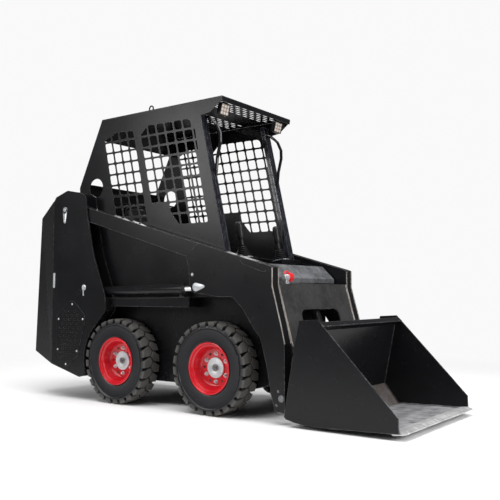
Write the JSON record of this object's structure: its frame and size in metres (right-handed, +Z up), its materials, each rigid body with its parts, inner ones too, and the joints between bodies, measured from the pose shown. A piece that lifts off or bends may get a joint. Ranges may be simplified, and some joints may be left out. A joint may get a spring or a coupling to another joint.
{
  "type": "skid steer loader",
  "caption": "Compact wheeled loader with a screened open cab, raising lift arms, a tilting bucket on a cylinder and a swing-out rear engine door.",
  "frame": {"origin": "on the ground under the middle of the machine's whole length and width", "axes": "+X forward towards the bucket, +Y to the machine's left, +Z up"},
  "size_m": [3.101, 1.04, 2.0719],
  "materials": {
    "black_paint": "satin black machine enamel",
    "red_paint": "glossy red enamel",
    "tyre_rubber": "dull dark grey tread rubber",
    "worn_steel": "scuffed bare and primed steel",
    "axle_steel": "zinc grey steel",
    "chrome_rod": "hard chrome plated rod",
    "seat_vinyl": "matt black vinyl",
    "lamp_face": "off-white lamp lens",
    "engine_iron": "dark cast iron",
    "boot_rubber": "soft black rubber"
  },
  "bodies": {
    "chassis": {"axle_front": "axle_steel", "axle_rear": "axle_steel", "cab_floor": "black_paint", "cab_rear_panel": "black_paint", "cab_roof": "black_paint", "cab_side_left": "black_paint", "cab_side_right": "black_paint", "chassis_tub": "black_paint", "console_left": "black_paint", "console_right": "black_paint", "engine_block": "engine_iron", "engine_hood": "black_paint", "fender_left": "black_paint", "fender_right": "black_paint", "front_cover": "worn_steel", "front_post_left": "black_paint", "front_post_right": "black_paint", "joystick_left": "boot_rubber", "joystick_right": "boot_rubber", "seat_back": "seat_vinyl", "seat_cushion": "seat_vinyl", "tower_left": "black_paint", "tower_right": "black_paint", "vent_cover_left": "black_paint", "vent_cover_right": "black_paint", "work_light_left": "lamp_face", "work_light_right": "lamp_face"},
    "rear_door": {"rear_door": "black_paint"},
    "lift_arms": {"lift_arm_left": "black_paint", "lift_arm_right": "black_paint", "cross_member": "worn_steel", "hydraulic_coupler": "red_paint"},
    "bucket": {"bucket_shell": "black_paint", "cutting_edge": "worn_steel"},
    "tilt_barrel": {"tilt_cylinder_barrel": "black_paint"},
    "tilt_rod": {"tilt_cylinder_rod": "chrome_rod"},
    "lift_barrel_left": {"lift_cylinder_left_barrel": "black_paint"},
    "lift_rod_left": {"lift_cylinder_left_rod": "chrome_rod"},
    "wheel_front_left": {"tyre_front_left": "tyre_rubber", "rim_front_left": "red_paint"},
    "wheel_rear_left": {"tyre_rear_left": "tyre_rubber", "rim_rear_left": "red_paint"},
    "lift_barrel_right": {"lift_cylinder_right_barrel": "black_paint"},
    "lift_rod_right": {"lift_cylinder_right_rod": "chrome_rod"},
    "wheel_front_right": {"tyre_front_right": "tyre_rubber", "rim_front_right": "red_paint"},
    "wheel_rear_right": {"tyre_rear_right": "tyre_rubber", "rim_rear_right": "red_paint"}
  },
  "joints": [
    {"name": "wheel_front_left_spin", "type": "hinge", "parent": "chassis", "child": "wheel_front_left", "pos_m": [0.2375, 0.4275, 0.292], "axis": [0, 1, 0], "continuous": true},
    {"name": "wheel_rear_left_spin", "type": "hinge", "parent": "chassis", "child": "wheel_rear_left", "pos_m": [-0.5925, 0.4275, 0.292], "axis": [0, 1, 0], "continuous": true},
    {"name": "wheel_front_right_spin", "type": "hinge", "parent": "chassis", "child": "wheel_front_right", "pos_m": [0.2375, -0.4275, 0.292], "axis": [0, 1, 0], "continuous": true},
    {"name": "wheel_rear_right_spin", "type": "hinge", "parent": "chassis", "child": "wheel_rear_right", "pos_m": [-0.5925, -0.4275, 0.292], "axis": [0, 1, 0], "continuous": true},
    {"name": "lift_arms_raise", "type": "hinge", "parent": "chassis", "child": "lift_arms", "pos_m": [-1.1225, 0, 1.37], "axis": [0, -1, 0], "range_deg": [0, 68]},
    {"name": "bucket_tilt", "type": "hinge", "parent": "lift_arms", "child": "bucket", "pos_m": [0.7795, 0, 0.152], "axis": [0, 1, 0], "range_deg": [-20, 105]},
    {"name": "rear_door_swing", "type": "hinge", "parent": "chassis", "child": "rear_door", "pos_m": [-1.25, 0.5128, 0.9], "axis": [0, 0, -1], "range_deg": [0, 100]},
    {"name": "lift_barrel_left_swing", "type": "hinge", "parent": "chassis", "child": "lift_barrel_left", "pos_m": [-0.9525, 0.4548, 0.77], "axis": [0, -1, 0], "range_deg": [-1, 62]},
    {"name": "lift_rod_left_slide", "type": "slide", "parent": "lift_barrel_left", "child": "lift_rod_left", "axis": [0.9998, 0, 0.0184], "range_m": [-0.001, 0.68]},
    {"name": "lift_barrel_right_swing", "type": "hinge", "parent": "chassis", "child": "lift_barrel_right", "pos_m": [-0.9525, -0.4548, 0.77], "axis": [0, -1, 0], "range_deg": [-1, 62]},
    {"name": "lift_rod_right_slide", "type": "slide", "parent": "lift_barrel_right", "child": "lift_rod_right", "axis": [0.9998, 0, 0.0184], "range_m": [-0.001, 0.68]},
    {"name": "tilt_barrel_swing", "type": "hinge", "parent": "lift_arms", "child": "tilt_barrel", "pos_m": [0.6625, 0, 0.775], "axis": [0, 1, 0], "range_deg": [-2, 5]},
    {"name": "tilt_rod_slide", "type": "slide", "parent": "tilt_barrel", "child": "tilt_rod", "axis": [0.3663, 0, -0.9305], "range_m": [-0.055, 0.27]}
  ],
  "couplings": [
    {"joint": "lift_barrel_left_swing", "follows": "lift_arms_raise", "ratio": 0.88973},
    {"joint": "lift_rod_left_slide", "follows": "lift_arms_raise", "m_per_rad": 0.56754},
    {"joint": "lift_barrel_right_swing", "follows": "lift_arms_raise", "ratio": 0.88973},
    {"joint": "lift_rod_right_slide", "follows": "lift_arms_raise", "m_per_rad": 0.56754},
    {"joint": "tilt_barrel_swing", "follows": "bucket_tilt", "ratio": 0.02607},
    {"joint": "tilt_rod_slide", "follows": "bucket_tilt", "m_per_rad": 0.14405}
  ]
}
